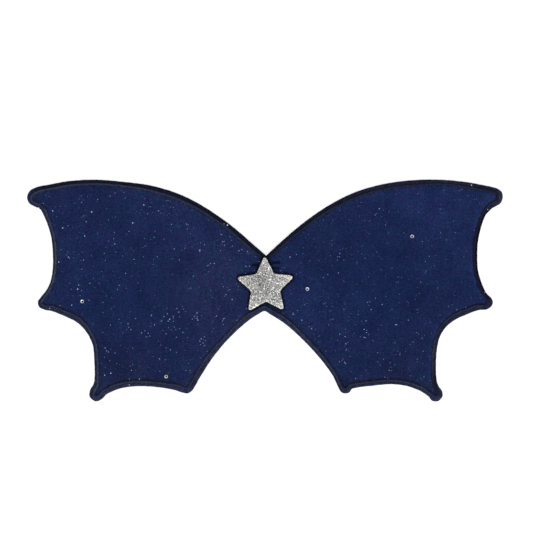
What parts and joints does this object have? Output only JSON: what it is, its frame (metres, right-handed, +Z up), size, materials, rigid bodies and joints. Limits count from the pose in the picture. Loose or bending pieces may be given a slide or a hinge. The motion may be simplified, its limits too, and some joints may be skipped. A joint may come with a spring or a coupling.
{
  "type": "bat wings",
  "caption": "Child's dress-up bat wings in navy velvet with satin-stitched edges, a padded silver glitter star in the middle and elastic arm loops behind.",
  "frame": {"origin": "under the middle of the wings' outline, on the surface that they lie on", "axes": "+X towards the viewer's right along the span, +Y towards the upper wing tips, +Z up out of the outer face"},
  "size_m": [0.559, 0.2604, 0.0077],
  "materials": {
    "velvet": "navy velvet with a short pile and scattered glitter dots",
    "satin_thread": "charcoal satin-stitched thread",
    "silver_glitter": "coarse silver glitter on cloth",
    "sequin_foil": "metallised cup sequin",
    "elastic": "black ribbed elastic"
  },
  "bodies": {
    "root": {"wing_panel": "velvet", "edge_cording": "satin_thread", "star": "silver_glitter", "strap_left": "elastic", "strap_right": "elastic", "sequin_left_outer": "sequin_foil", "sequin_left_lower": "sequin_foil", "sequin_right_inner": "sequin_foil", "sequin_right_outer": "sequin_foil"}
  },
  "joints": []
}
